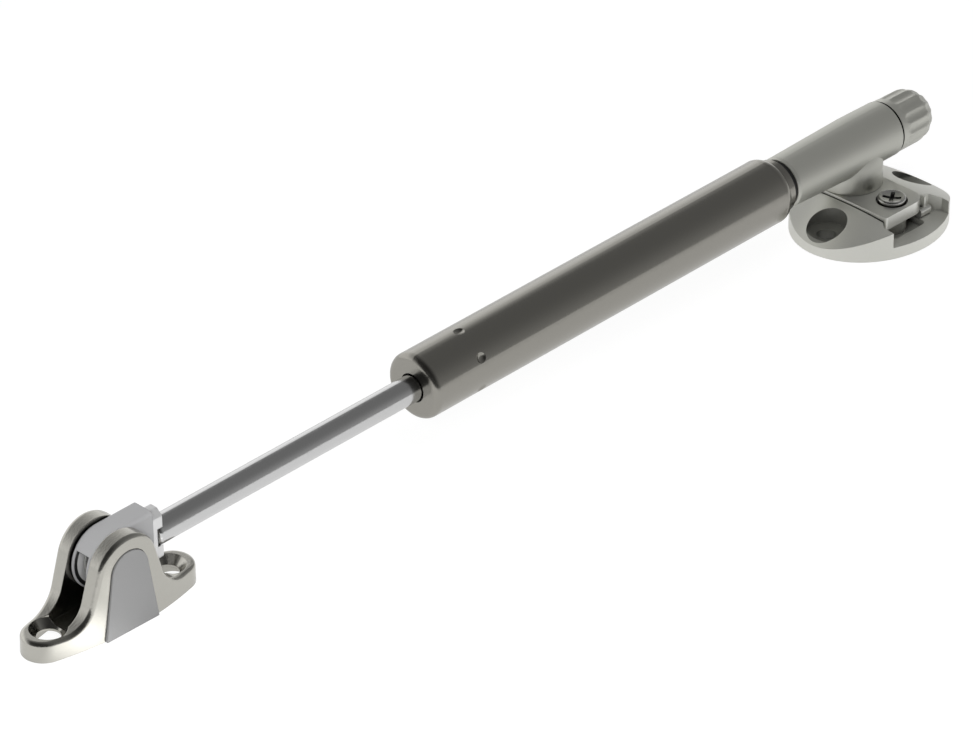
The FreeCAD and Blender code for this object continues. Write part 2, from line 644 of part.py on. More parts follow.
def piston_ring():
    middle = (PISTON_FRONT + PISTON_REAR) / 2
    ring = rod_x(middle - PISTON_RING_W / 2, middle + PISTON_RING_W / 2,
                 TUBE_BORE_R - PISTON_GAP / 2, TUBE_BORE_R - PISTON_RING_DEPTH)
    return on_strut(ring)


def piston_nut():
    start = PISTON_REAR + RUNNING_GAP
    radius = NUT_ACROSS / math.sqrt(3)
    corners = []
    for index in range(7):
        turn = math.radians(60 * index)
        corners.append(Vector(start, radius * math.cos(turn), radius * math.sin(turn)))
    nut = Part.Face(Part.makePolygon(corners)).extrude(Vector(NUT_T, 0, 0))
    return on_strut(nut.cut(rod_x(start, start + NUT_T, ROD_TAIL_R)))


def piston_rod():
    end = ROD_END_R
    bend = math.sqrt(0.5)
    tail_end = PISTON_REAR + RUNNING_GAP + NUT_T + 1.0
    shoulder = PISTON_FRONT - RUNNING_GAP
    edges = [
        line((FORK_REAR - FORK_HEEL + 0.4, 0, 0), (FORK_REAR - FORK_HEEL + 0.4, 0, ROD_NECK_R)),
        line((FORK_REAR - FORK_HEEL + 0.4, 0, ROD_NECK_R), (ROD_FRONT, 0, ROD_NECK_R)),
        line((ROD_FRONT, 0, ROD_NECK_R), (ROD_FRONT, 0, ROD_R - end * 0.6)),
        arc((ROD_FRONT, 0, ROD_R - end * 0.6),
            (ROD_FRONT + end * (1 - bend), 0, ROD_R - end * 0.6 * (1 - bend)),
            (ROD_FRONT + end, 0, ROD_R)),
        line((ROD_FRONT + end, 0, ROD_R), (shoulder, 0, ROD_R)),
        line((shoulder, 0, ROD_R), (shoulder, 0, ROD_TAIL_R)),
        line((shoulder, 0, ROD_TAIL_R), (tail_end, 0, ROD_TAIL_R)),
        line((tail_end, 0, ROD_TAIL_R), (tail_end, 0, 0)),
        line((tail_end, 0, 0), (FORK_REAR - FORK_HEEL + 0.4, 0, 0)),
    ]
    return on_strut(turned(edges))


def rod_end_collar():
    half = COLLAR_PLATE_WIDTH / 2
    top = COLLAR_PLATE_TOP
    chamfer = COLLAR_PLATE_CORNER
    ring = [
        (half - chamfer, top), (half, top - chamfer), (half, -top + chamfer), (half - chamfer, -top),
        (-half + chamfer, -top), (-half, -top + chamfer), (-half, top - chamfer), (-half + chamfer, top),
    ]
    corners = [Vector(FORK_REAR, y, z) for y, z in ring]
    plate = Part.Face(Part.makePolygon(corners + [corners[0]])).extrude(Vector(COLLAR_PLATE_T, 0, 0))
    edges = [e for e in plate.Edges if e.BoundBox.XLength > COLLAR_PLATE_T * 0.9]
    plate = plate.makeFillet(0.6, edges)
    # The rod's rounded end sits in a socket that breaks out of the plate's sides.
    socket = rod_x(FORK_REAR + COLLAR_PLATE_WEB, COLLAR_PLATE_REAR, ROD_R + COLLAR_SOCKET_GAP)
    neck = rod_x(FORK_REAR, COLLAR_PLATE_REAR, ROD_NECK_R)
    return on_strut(plate.cut(socket).cut(neck))


def fork_outline():
    """Side view of the fork: a round nose about the pivot and a flat back."""
    y = -FORK_WIDTH / 2
    edges = [
        line((FORK_REACH, y, -FORK_R), (FORK_REACH, y, FORK_R)),
        line((FORK_REACH, y, FORK_R), (0, y, FORK_R)),
        arc((0, y, FORK_R), (-FORK_R, y, 0), (0, y, -FORK_R)),
        line((0, y, -FORK_R), (FORK_REACH, y, -FORK_R)),
    ]
    return face(edges)


def rod_end_fork():
    width = FORK_WIDTH
    body = fork_outline().extrude(Vector(0, width, 0))
    outline = [e for e in body.Edges if e.BoundBox.YLength < 0.01 and e.BoundBox.XLength > 1]
    body = body.makeFillet(FORK_EDGE_R, outline)
    # Between the cheeks the block is hollow, open at the nose below the mouth angle.
    inner_half = width / 2 - FORK_CHEEK
    inner_r = FORK_R + 2
    hollow = box(-inner_r, FORK_REACH - FORK_HEEL, -inner_half, inner_half,
                 -inner_r, FORK_R - FORK_WEB)
    mouth = math.radians(FORK_MOUTH_DEG)
    lip_z = FORK_R * math.sin(mouth)
    nose_fill = rod_y(0, 0, -inner_half, inner_half, FORK_R)
    nose_fill = nose_fill.cut(rod_y(0, 0, -inner_half, inner_half, FORK_R - FORK_WEB))
    nose_fill = nose_fill.common(box(-inner_r, 0, -inner_half, inner_half, lip_z, FORK_R))
    body = body.cut(hollow).fuse(nose_fill)
    body = body.cut(rod_y(0, 0, -width, width, PIVOT_PIN_R + RUNNING_GAP))
    body = body.cut(rod_x(0, FORK_REACH + 1, ROD_NECK_R))
    body = body.removeSplitter().translated(Vector(PIVOT_X, 0, 0))
    return on_strut(body)


def pivot_bush():
    half = FORK_WIDTH / 2 - FORK_CHEEK - BUSH_GAP
    bush = rod_y(0, 0, -half, half, BUSH_R).cut(rod_y(0, 0, -half, half, PIVOT_PIN_R + RUNNING_GAP))
    return on_strut(bush.translated(Vector(PIVOT_X, 0, 0)))


def boat(foot_x, foot_r, half_width, z):
    """Outline of the bracket's footprint: round ends that run smoothly into full sides."""
    swell = half_width - foot_r
    side_centre = (foot_x ** 2 - swell ** 2) / (2 * swell)
    reach = swell + side_centre
    tx = foot_x + foot_r * foot_x / reach
    ty = foot_r * side_centre / reach
    end = foot_x + foot_r
    return Part.Wire([
        arc((-tx, ty, z), (-end, 0, z), (-tx, -ty, z)),
        arc((-tx, -ty, z), (0, -half_width, z), (tx, -ty, z)),
        arc((tx, -ty, z), (end, 0, z), (tx, ty, z)),
        arc((tx, ty, z), (0, half_width, z), (-tx, ty, z)),
    ])


def arch_side(radius, spread):
    """Where an arch about the pivot passes into its straight side, and that side's slope."""
    turn = math.radians(spread)
    return radius * math.cos(turn), PIVOT_Z + radius * math.sin(turn), math.tan(turn)


def bell_face(y):
    """Side view of the ears: feet, hollow flares, spread sides and a round top."""
    length_half = FLAP_HALF_LENGTH + 1
    spread = math.radians(EAR_SPREAD_DEG)
    arch_x, arch_z, slope = arch_side(EAR_R, EAR_SPREAD_DEG)
    flare_z = FOOT_T + EAR_FLARE_R
    flare_x = (EAR_R + EAR_FLARE_R - (flare_z - PIVOT_Z) * math.sin(spread)) / math.cos(spread)
    join_x = flare_x - EAR_FLARE_R * math.cos(spread)
    join_z = flare_z - EAR_FLARE_R * math.sin(spread)
    turn = (math.pi / 2 + spread) / 2
    bend_x = flare_x - EAR_FLARE_R * math.cos(turn)
    bend_z = flare_z - EAR_FLARE_R * math.sin(turn)
    edges = [
        line((-length_half, y, -1), (-length_half, y, FOOT_T)),
        line((-length_half, y, FOOT_T), (-flare_x, y, FOOT_T)),
        arc((-flare_x, y, FOOT_T), (-bend_x, y, bend_z), (-join_x, y, join_z)),
        line((-join_x, y, join_z), (-arch_x, y, arch_z)),
        arc((-arch_x, y, arch_z), (0, y, EAR_TOP_Z), (arch_x, y, arch_z)),
        line((arch_x, y, arch_z), (join_x, y, join_z)),
        arc((join_x, y, join_z), (bend_x, y, bend_z), (flare_x, y, FOOT_T)),
        line((flare_x, y, FOOT_T), (length_half, y, FOOT_T)),
        line((length_half, y, FOOT_T), (length_half, y, -1)),
        line((length_half, y, -1), (-length_half, y, -1)),
    ]
    return face(edges)


def ear_draft(z):
    """Half width of the bracket's side faces at a height."""
    share = z / EAR_TOP_Z
    return EAR_BASE_HALF_WIDTH + (EAR_TOP_HALF_WIDTH - EAR_BASE_HALF_WIDTH) * share


def cover_face(grow, y):
    """Outline of a cover, a round-topped shield, in a plane of constant Y."""
    radius = COVER_R + grow
    arch_x, arch_z, slope = arch_side(radius, COVER_SPREAD_DEG)
    half = arch_x + arch_z * slope
    edges = [
        line((-half, y, 0), (half, y, 0)),
        line((half, y, 0), (arch_x, y, arch_z)),
        arc((arch_x, y, arch_z), (0, y, PIVOT_Z + radius), (-arch_x, y, arch_z)),
        line((-arch_x, y, arch_z), (-half, y, 0)),
    ]
    return face(edges)


def leaned_slab(y_base, y_top, thickness):
    """A slab that follows the ear's drafted outer face on the -Y side."""
    half = EAR_R + EAR_FLARE_R
    corners = [
        Vector(-half, -y_base, 0), Vector(-half, -y_top, EAR_TOP_Z),
        Vector(-half, -y_top + thickness, EAR_TOP_Z), Vector(-half, -y_base + thickness, 0),
    ]
    return Part.Face(Part.makePolygon(corners + [corners[0]])).extrude(Vector(2 * half, 0, 0))


def cover_solid(grow, proud, thickness):
    slab = leaned_slab(EAR_BASE_HALF_WIDTH + proud, EAR_TOP_HALF_WIDTH + proud, thickness)
    prism = cover_face(grow, -EAR_BASE_HALF_WIDTH - 2).extrude(Vector(0, EAR_BASE_HALF_WIDTH + 2, 0))
    return prism.common(slab)


def foot_pocket(side):
    """The cored underside of one foot, inside an even wall."""
    plan = Part.Face(boat(FOOT_X, FOOT_R - POCKET_WALL, EAR_BASE_HALF_WIDTH - POCKET_WALL, 0))
    core = plan.extrude(Vector(0, 0, POCKET_HEIGHT))
    inner, outer = sorted((side * POCKET_START, side * FLAP_HALF_LENGTH))
    return core.common(box(inner, outer, -EAR_BASE_HALF_WIDTH, EAR_BASE_HALF_WIDTH, 0, POCKET_HEIGHT))


def flap_bracket():
    draft = EAR_BASE_HALF_WIDTH - EAR_TOP_HALF_WIDTH
    low = boat(FOOT_X, FOOT_R, EAR_BASE_HALF_WIDTH, 0)
    high = boat(FOOT_X, FOOT_R - draft, EAR_TOP_HALF_WIDTH, EAR_TOP_Z)
    hull = Part.makeLoft([low, high], True, True)
    bell = bell_face(-EAR_BASE_HALF_WIDTH - 1).extrude(Vector(0, 2 * EAR_BASE_HALF_WIDTH + 2, 0))
    body = hull.common(bell)
    rim = []
    for edge in body.Edges:
        bounds = edge.BoundBox
        if bounds.ZMin > FOOT_T - 0.5 and bounds.XLength > 0.3:
            rim.append(edge)
    body = body.makeFillet(EAR_EDGE_R, rim)
    slot_end = FLAP_SCREW_SPACING / 2 - FLAP_COUNTERSINK_R + 1.2
    slot = box(-slot_end, slot_end, -SLOT_WIDTH / 2, SLOT_WIDTH / 2, SLOT_FLOOR, EAR_TOP_Z + 1)
    body = body.cut(slot)
    for side in (-1, 1):
        x = side * FLAP_SCREW_SPACING / 2
        sink_floor = FOOT_T - FLAP_COUNTERSINK_DEPTH
        sink = cone_z(x, 0, sink_floor, FOOT_T, FLAP_SCREW_HOLE_R, FLAP_COUNTERSINK_R)
        above = rod_z(x, 0, FOOT_T, EAR_TOP_Z, FLAP_COUNTERSINK_R)
        hole = rod_z(x, 0, -1, FOOT_T, FLAP_SCREW_HOLE_R)
        body = body.cut(sink.fuse(above).fuse(hole)).cut(foot_pocket(side))
        recess = cover_solid(COVER_FIT, 0.5, COVER_T + 0.5)
        if side > 0:
            recess = recess.mirror(Vector(0, 0, 0), Y_AXIS)
        body = body.cut(recess)
    body = body.cut(rod_y(0, PIVOT_Z, -EAR_BASE_HALF_WIDTH, EAR_BASE_HALF_WIDTH, PIVOT_PIN_R))
    return at_flap(body)


def flap_cover(side):
    cover = cover_solid(0, COVER_PROUD, COVER_T + COVER_PROUD)
    if side > 0:
        cover = cover.mirror(Vector(0, 0, 0), Y_AXIS)
    return at_flap(cover)


def pivot_pin():
    half = ear_draft(PIVOT_Z + PIVOT_PIN_R) - COVER_T - PIVOT_PIN_END_GAP
    return at_flap(rod_y(0, PIVOT_Z, -half, half, PIVOT_PIN_R))


def save(name, shape):
    solids = shape.Solids
    if not solids or not shape.isValid():
        raise RuntimeError(name + " did not build")
    whole = solids[0] if len(solids) == 1 else Part.makeCompound(solids)
    whole.exportStep("parts/" + name + ".step")
    bounds = whole.BoundBox
    print(name, len(solids), round(whole.Volume, 1), [round(v, 1) for v in (
        bounds.XMin, bounds.XMax, bounds.YMin, bounds.YMax, bounds.ZMin, bounds.ZMax)])


def main():
    os.makedirs("parts", exist_ok=True)
    save("base_plate", base_plate())
    save("carriage_block", carriage_block())
    save("locking_screw", locking_screw())
    save("swivel_pin", swivel_pin())
    save("swivel_washer", swivel_washer())
    save("swivel_ring", swivel_ring())
    save("pivot_holder", pivot_holder())
    save("adjusting_knob", adjusting_knob())
    save("adjusting_spindle", adjusting_spindle())
    save("spindle_ring", spindle_ring())
    save("valve_needle", valve_needle())
    save("rear_plug", rear_plug())
    save("plug_o_ring", plug_o_ring())
    save("gap_ring", gap_ring())
    save("outer_tube", outer_tube())
    save("front_guide", front_guide())
    save("rod_seal", rod_seal())
    save("stop_buffer", stop_buffer())
    save("piston", piston())
    save("piston_ring", piston_ring())
    save("piston_nut", piston_nut())
    save("piston_rod", piston_rod())
    save("rod_end_collar", rod_end_collar())
    save("rod_end_fork", rod_end_fork())
    save("pivot_bush", pivot_bush())
    save("pivot_pin", pivot_pin())
    save("flap_bracket", flap_bracket())
    save("near_cover", flap_cover(-1))
    save("far_cover", flap_cover(1))


main()
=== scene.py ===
import math

import bpy
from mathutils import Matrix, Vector


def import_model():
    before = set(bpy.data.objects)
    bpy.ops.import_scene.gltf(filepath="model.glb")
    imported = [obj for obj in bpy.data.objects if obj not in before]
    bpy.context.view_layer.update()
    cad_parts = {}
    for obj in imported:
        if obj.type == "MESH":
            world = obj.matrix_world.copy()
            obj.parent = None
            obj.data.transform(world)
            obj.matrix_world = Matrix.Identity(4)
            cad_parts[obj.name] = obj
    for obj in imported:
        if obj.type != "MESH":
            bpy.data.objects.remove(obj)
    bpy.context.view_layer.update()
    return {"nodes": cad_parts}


# Finishes and studio of the adjustable lid stay: satin nickel die castings, a darker nickel tube,
# a bright rod and grey plastic covers, seen from above the flap end on plain white.

# Camera, in millimetres and degrees
TARGET = (-122.3, 0.0, 16.2)
AZIMUTH = -45.66
ELEVATION = 31.67
DISTANCE = 1176.3
LENS = 208.4
SENSOR = 36.0

# Brightness of the room in each direction: a dim front and ceiling, a bright rear wall
REAR_LIGHT = 1.15
FRONT_LIGHT = 0.36
CEILING_LIGHT = 0.20
REAR_ACROSS = 0.85
REAR_LEAN = -0.35
REAR_START = 0.1
REAR_FULL = 0.6
CEILING_FULL = 0.8
LEFT_DIM = 0.2
LEFT_DIM_FULL = -0.5
LEFT_DIM_END = 0.6

# Floor, in metres, and the share of it that glows for each kind of ray
FLOOR_HALF = 2.0
FLOOR_DROP = 0.0001
FLOOR_COLOUR = (0.9, 0.9, 0.9)
FLOOR_GLOW_CAMERA = 0.8
FLOOR_GLOW_GLOSS = 0.65
FLOOR_GLOW_OTHER = 0.3
FLOOR_CAMERA_STRENGTH = 1.13
PLATE_SHADE_LONG = 0.0185
PLATE_SHADE_WIDE = 0.0155

# Painted pools of light, glowing on the floor in reflections and in the light on the object: place, radius
# and added brightness
PAINTED_LIGHT_POOLS = (
    (-0.234, -0.006, 0.016, 2.6),
    (-0.217, -0.015, 0.010, 1.2),
    (-0.117, 0.022, 0.020, 1.2),
    (0.014, -0.024, 0.028, 0.3),
)

# Soft lamps, which light the floor and the plastics: place, aim, side and power
LAMPS = (
    ((-0.36, -0.16, 0.16), (-0.24, -0.02, 0.0), 0.12, 0.5),
    ((-0.05, -0.15, 0.70), (-0.08, 0.0, 0.0), 0.50, 2.0),
)

# Finish and painted shade: softened edges, crevices darkened by painted shade, a fine grain, and a boss
# polished below this level
EDGE_SOFTNESS = 0.0002
EDGE_SAMPLES = 6
CREVICE_REACH = 0.0008
CREVICE_SHADE = 0.06
CREVICE_SAMPLES = 8
CREVICE_CLOSED = 0.1
CREVICE_OPEN = 0.6
GRAIN_SCALE = 2500.0
GRAIN_HEIGHT = 0.0001
CLOUD_COARSENESS = 0.4
POLISH_TOP = 0.0135
POLISH_FADE = 0.002
GAP_SHADE_COLOUR = (0.01, 0.01, 0.01)

# Painted shade in the gaps beside the block's channel and at the knob's seam, drawn dark, as limits along x
# and the lowest level of each
CHANNEL_GAP_SHADE = ((-0.00782, -0.00755, 0.0062), (0.00625, 0.00645, 0.0062))
HOLDER_GAP_SHADE = ((0.01013, 0.0110, 0.0),)
KNOB_GAP_SHADE = ((0.0100, 0.01078, 0.0),)

# Round places of painted shade in the fork's mouth and the plate's dishes, and a painted highlight of the
# bush in the mouth: the plane's axes, centre, radius, limit along x and shade
# Painted shade blackens the fork's mouth, and a painted highlight lightens the bush inside it.
MOUTH_SHADE = (("X", "Z"), (-0.22426, 0.0136), 0.0069, -0.2262, (0.01, 0.01, 0.01))
MOUTH_BUSH_HIGHLIGHT = (("X", "Z"), (-0.22426, 0.0136), 0.0061, -0.2262, (0.50, 0.50, 0.50))
# Painted shade darkens the inside of the plate's two screw dishes.
LEFT_DISH_SHADE = (("X", "Y"), (-0.0144, 0.0), 0.00452, 0.0, (0.24, 0.24, 0.22))
RIGHT_DISH_SHADE = (("X", "Y"), (0.0144, 0.0), 0.00452, 1.0, (0.24, 0.24, 0.22))


def math_node(tree, operation, first, second):
    """One arithmetic step; each operand is a socket or a number."""
    node = tree.nodes.new("ShaderNodeMath")
    node.operation = operation
    for socket, value in zip(node.inputs, (first, second)):
        if isinstance(value, bpy.types.NodeSocket):
            tree.links.new(value, socket)
        else:
            socket.default_value = value
    return node.outputs[0]


def ramp(tree, value, start, end, low, high):
    """A smooth step of a value from low to high between start and end."""
    node = tree.nodes.new("ShaderNodeMapRange")
    node.interpolation_type = "SMOOTHSTEP"
    node.inputs["From Min"].default_value = start
    node.inputs["From Max"].default_value = end
    node.inputs["To Min"].default_value = low
    node.inputs["To Max"].default_value = high
    tree.links.new(value, node.inputs["Value"])
    return node.outputs[0]


def object_axes(tree):
    """The place on the object as three sockets, X, Y and Z."""
    coords = tree.nodes.new("ShaderNodeTexCoord")
    split = tree.nodes.new("ShaderNodeSeparateXYZ")
    tree.links.new(coords.outputs["Object"], split.inputs[0])
    return split.outputs


def paint(tree, inside, colour, shade):
    """The colour, replaced by a shade where inside is one."""
    mix = tree.nodes.new("ShaderNodeMix")
    mix.data_type = "RGBA"
    tree.links.new(inside, mix.inputs[0])
    tree.links.new(colour, mix.inputs[6])
    mix.inputs[7].default_value = (*shade, 1.0)
    return mix.outputs[2]


def blend(tree, share, first, second):
    """A mix of two numbers, by a share."""
    node = tree.nodes.new("ShaderNodeMix")
    node.data_type = "FLOAT"
    for socket, value in zip((node.inputs[0], node.inputs[2], node.inputs[3]), (share, first, second)):
        if isinstance(value, bpy.types.NodeSocket):
            tree.links.new(value, socket)
        else:
            socket.default_value = value
    return node.outputs[0]


def world_light():
    """White to the camera; to the object a bright rear wall and a dim front and ceiling."""
    world = bpy.data.worlds.new("studio")
    bpy.context.scene.world = world
    world.use_nodes = True
    tree = world.node_tree
    tree.nodes.clear()
    out = tree.nodes.new("ShaderNodeOutputWorld")
    coords = tree.nodes.new("ShaderNodeTexCoord")
    split = tree.nodes.new("ShaderNodeSeparateXYZ")
    tree.links.new(coords.outputs["Generated"], split.inputs[0])
    front = ramp(tree, split.outputs["Z"], 0.0, CEILING_FULL, FRONT_LIGHT, CEILING_LIGHT)
    left = ramp(tree, split.outputs["X"], LEFT_DIM_FULL, LEFT_DIM_END, LEFT_DIM, 1.0)
    front = math_node(tree, "MULTIPLY", front, left)
    lean = math_node(tree, "MULTIPLY", split.outputs["Z"], REAR_LEAN)
    across = math_node(tree, "MULTIPLY", split.outputs["Y"], REAR_ACROSS)
    behind = ramp(tree, math_node(tree, "ADD", across, lean), REAR_START, REAR_FULL, 0.0, 1.0)
    strength = blend(tree, behind, front, REAR_LIGHT)

    room = tree.nodes.new("ShaderNodeBackground")
    tree.links.new(strength, room.inputs["Strength"])
    room.inputs["Color"].default_value = (1.0, 1.0, 1.0, 1.0)
    white = tree.nodes.new("ShaderNodeBackground")
    white.inputs["Color"].default_value = (1.0, 1.0, 1.0, 1.0)
    white.inputs["Strength"].default_value = 1.0
    path = tree.nodes.new("ShaderNodeLightPath")
    choose = tree.nodes.new("ShaderNodeMixShader")
    tree.links.new(path.outputs["Is Camera Ray"], choose.inputs[0])
    tree.links.new(room.outputs[0], choose.inputs[1])
    tree.links.new(white.outputs[0], choose.inputs[2])
    tree.links.new(choose.outputs[0], out.inputs["Surface"])


def painted_light_pools(tree):
    """The floor's glow strength at each place: one, with the painted pools of light added."""
    place = tree.nodes.new("ShaderNodeNewGeometry")
    total = 1.0
    for x, y, radius, extra in PAINTED_LIGHT_POOLS:
        away = tree.nodes.new("ShaderNodeVectorMath")
        away.operation = "DISTANCE"
        away.inputs[1].default_value = (x, y, 0.0)
        tree.links.new(place.outputs["Position"], away.inputs[0])
        total = math_node(tree, "ADD", ramp(tree, away.outputs["Value"], 0.0, radius, extra, 0.0), total)
    return total


def outside_plate_shadow(tree):
    """One on the open floor, nought in the painted shadow under the oval plate, where the floor has no glow.
    """
    place = tree.nodes.new("ShaderNodeNewGeometry")
    split = tree.nodes.new("ShaderNodeSeparateXYZ")
    tree.links.new(place.outputs["Position"], split.inputs[0])
    long_way = math_node(tree, "POWER", math_node(tree, "DIVIDE", split.outputs["X"], PLATE_SHADE_LONG), 2.0)
    wide_way = math_node(tree, "POWER", math_node(tree, "DIVIDE", split.outputs["Y"], PLATE_SHADE_WIDE), 2.0)
    return math_node(tree, "GREATER_THAN", math_node(tree, "ADD", long_way, wide_way), 1.0)


def floor():
    """A white floor that glows to the camera, with painted pools of light and a painted shadow under the
    plate in its glow, keeps a soft shadow and isn't seen from below.
    """
    half = FLOOR_HALF
    mesh = bpy.data.meshes.new("floor")
    corners = [(-half, -half, 0), (half, -half, 0), (half, half, 0), (-half, half, 0)]
    mesh.from_pydata(corners, [], [(0, 1, 2, 3)])
    plane = bpy.data.objects.new("floor", mesh)
    plane.location = (0.0, 0.0, -FLOOR_DROP)
    bpy.context.scene.collection.objects.link(plane)

    material = bpy.data.materials.new("white_floor")
    material.use_nodes = True
    tree = material.node_tree
    tree.nodes.clear()
    out = tree.nodes.new("ShaderNodeOutputMaterial")
    matt = tree.nodes.new("ShaderNodeBsdfDiffuse")
    matt.inputs["Color"].default_value = (*FLOOR_COLOUR, 1.0)
    glow = tree.nodes.new("ShaderNodeEmission")
    glow.inputs["Color"].default_value = (1.0, 1.0, 1.0, 1.0)
    path = tree.nodes.new("ShaderNodeLightPath")
    # Painted pools of light brighten the glow that reflections and the object's light see.
    strength = blend(tree, path.outputs["Is Camera Ray"], painted_light_pools(tree), FLOOR_CAMERA_STRENGTH)
    tree.links.new(strength, glow.inputs["Strength"])
    share = blend(tree, path.outputs["Is Glossy Ray"], FLOOR_GLOW_OTHER, FLOOR_GLOW_GLOSS)
    share = blend(tree, path.outputs["Is Camera Ray"], share, FLOOR_GLOW_CAMERA)
    # Painted shadow: the floor has no glow under the plate.
    share = math_node(tree, "MULTIPLY", share, outside_plate_shadow(tree))
    mixed = tree.nodes.new("ShaderNodeMixShader")
    tree.links.new(share, mixed.inputs[0])
    tree.links.new(matt.outputs[0], mixed.inputs[1])
    tree.links.new(glow.outputs[0], mixed.inputs[2])
    clear = tree.nodes.new("ShaderNodeBsdfTransparent")
    side = tree.nodes.new("ShaderNodeNewGeometry")
    both = tree.nodes.new("ShaderNodeMixShader")
    tree.links.new(side.outputs["Backfacing"], both.inputs[0])
    tree.links.new(mixed.outputs[0], both.inputs[1])
    tree.links.new(clear.outputs[0], both.inputs[2])
    tree.links.new(both.outputs[0], out.inputs["Surface"])
    mesh.materials.append(material)


def lamps():
    """The soft square lamps, unseen in reflections."""
    for place, target, side, power in LAMPS:
        data = bpy.data.lights.new("soft_lamp", "AREA")
        data.shape = "SQUARE"
        data.size = side
        data.energy = power
        light = bpy.data.objects.new("soft_lamp", data)
        light.location = place
        light.rotation_euler = (Vector(target) - Vector(place)).to_track_quat("-Z", "Y").to_euler()
        light.visible_glossy = False
        bpy.context.scene.collection.objects.link(light)


def camera():
    """The photograph's view, from its fitted angles and distance."""
    data = bpy.data.cameras.new("camera")
    data.sensor_width = SENSOR
    data.lens = LENS
    data.clip_start = 0.01
    data.clip_end = 10.0
    eye = bpy.data.objects.new("camera", data)
    bpy.context.scene.collection.objects.link(eye)
    turn, rise = math.radians(AZIMUTH), math.radians(ELEVATION)
    back = Vector((math.sin(turn) * math.cos(rise), -math.cos(turn) * math.cos(rise), math.sin(rise)))
    eye.location = (Vector(TARGET) + back * DISTANCE) / 1000.0
    eye.rotation_euler = (math.pi / 2 - rise, 0.0, turn)
    bpy.context.scene.camera = eye


def painted_crevice_shade(tree, colour, reach, own):
    """The finish's colour with painted shade, darker where two faces nearly meet."""
    near = tree.nodes.new("ShaderNodeAmbientOcclusion")
    near.samples = CREVICE_SAMPLES
    near.only_local = own
    near.inputs["Distance"].default_value = reach
    mix = tree.nodes.new("ShaderNodeMix")
    mix.data_type = "RGBA"
    mix.inputs[6].default_value = (*[value * CREVICE_SHADE for value in colour], 1.0)
    mix.inputs[7].default_value = (*colour, 1.0)
    tree.links.new(ramp(tree, near.outputs["AO"], CREVICE_CLOSED, CREVICE_OPEN, 0.0, 1.0), mix.inputs[0])
    return mix.outputs[2]


def painted_gap_shade(tree, colour, shade_lines):
    """The colour, painted black as gap shade between each pair of limits along x and above its level."""
    axes = object_axes(tree)
    for low, high, level in shade_lines:
        inside = math_node(tree, "GREATER_THAN", axes["X"], low)
        inside = math_node(tree, "MULTIPLY", inside, math_node(tree, "LESS_THAN", axes["X"], high))
        inside = math_node(tree, "MULTIPLY", inside, math_node(tree, "GREATER_THAN", axes["Z"], level))
        colour = paint(tree, inside, colour, GAP_SHADE_COLOUR)
    return colour


def painted_round(tree, colour, place):
    """The colour, replaced by a painted shade or painted highlight inside a round place up to a limit along
    x.
    """
    plane, middle, radius, limit, shade = place
    axes = object_axes(tree)
    first = math_node(tree, "SUBTRACT", axes[plane[0]], middle[0])
    second = math_node(tree, "SUBTRACT", axes[plane[1]], middle[1])
    squares = math_node(tree, "ADD", math_node(tree, "MULTIPLY", first, first),
                        math_node(tree, "MULTIPLY", second, second))
    inside = math_node(tree, "LESS_THAN", squares, radius * radius)
    inside = math_node(tree, "MULTIPLY", inside, math_node(tree, "LESS_THAN", axes["X"], limit))
    return paint(tree, inside, colour, shade)


def surface(name, colour, metallic, roughness, grain=0.0, grain_scale=GRAIN_SCALE, spread=0.0,
            soft=EDGE_SOFTNESS, reach=CREVICE_REACH, own=False, shade_lines=(), painted_rounds=()):
    """A finish with softened edges, painted shade in crevices and gap lines, painted shade or highlight in
    round places, a fine cast grain and a slight unevenness of its gloss.
    """
    material = bpy.data.materials.new(name)
    material.use_nodes = True
    tree = material.node_tree
    shader = tree.nodes["Principled BSDF"]
    shader.inputs["Base Color"].default_value = (*colour, 1.0)
    shader.inputs["Metallic"].default_value = metallic
    shader.inputs["Roughness"].default_value = roughness
    # Painted shade: the colour is darkened in crevices and along the listed gap lines.
    shade = painted_gap_shade(tree, painted_crevice_shade(tree, colour, reach, own), shade_lines)
    # Painted shade and painted highlight in the listed round places.
    for place in painted_rounds:
        shade = painted_round(tree, shade, place)
    tree.links.new(shade, shader.inputs["Base Color"])
    coords = tree.nodes.new("ShaderNodeTexCoord")
    noise = tree.nodes.new("ShaderNodeTexNoise")
    noise.inputs["Scale"].default_value = grain_scale
    noise.inputs["Detail"].default_value = 2.0
    tree.links.new(coords.outputs["Object"], noise.inputs["Vector"])
    bump = tree.nodes.new("ShaderNodeBump")
    bump.inputs["Strength"].default_value = grain
    bump.inputs["Distance"].default_value = GRAIN_HEIGHT
    tree.links.new(noise.outputs["Fac"], bump.inputs["Height"])
    edge = tree.nodes.new("ShaderNodeBevel")
    edge.samples = EDGE_SAMPLES
    edge.inputs["Radius"].default_value = soft
    tree.links.new(edge.outputs["Normal"], bump.inputs["Normal"])
    tree.links.new(bump.outputs["Normal"], shader.inputs["Normal"])
    if spread:
        cloud = tree.nodes.new("ShaderNodeTexNoise")
        cloud.inputs["Scale"].default_value = grain_scale * CLOUD_COARSENESS
        cloud.inputs["Detail"].default_value = 3.0
        tree.links.new(coords.outputs["Object"], cloud.inputs["Vector"])
        gloss = ramp(tree, cloud.outputs["Fac"], 0.3, 0.7, roughness - spread, roughness + spread)
        tree.links.new(gloss, shader.inputs["Roughness"])
    return material


def polish_boss(material, polished, satin):
    """Makes the swivel boss, low on the holder, brighter polished than the barrel above it."""
    tree = material.node_tree
    height = object_axes(tree)["Z"]
    shader = tree.nodes["Principled BSDF"]
    start = POLISH_TOP - POLISH_FADE
    gloss = ramp(tree, height, start, POLISH_TOP, polished, satin)
    tree.links.new(gloss, shader.inputs["Roughness"])
    above = shader.inputs["Metallic"].default_value
    metal = ramp(tree, height, start, POLISH_TOP, 1.0, above)
    tree.links.new(metal, shader.inputs["Metallic"])


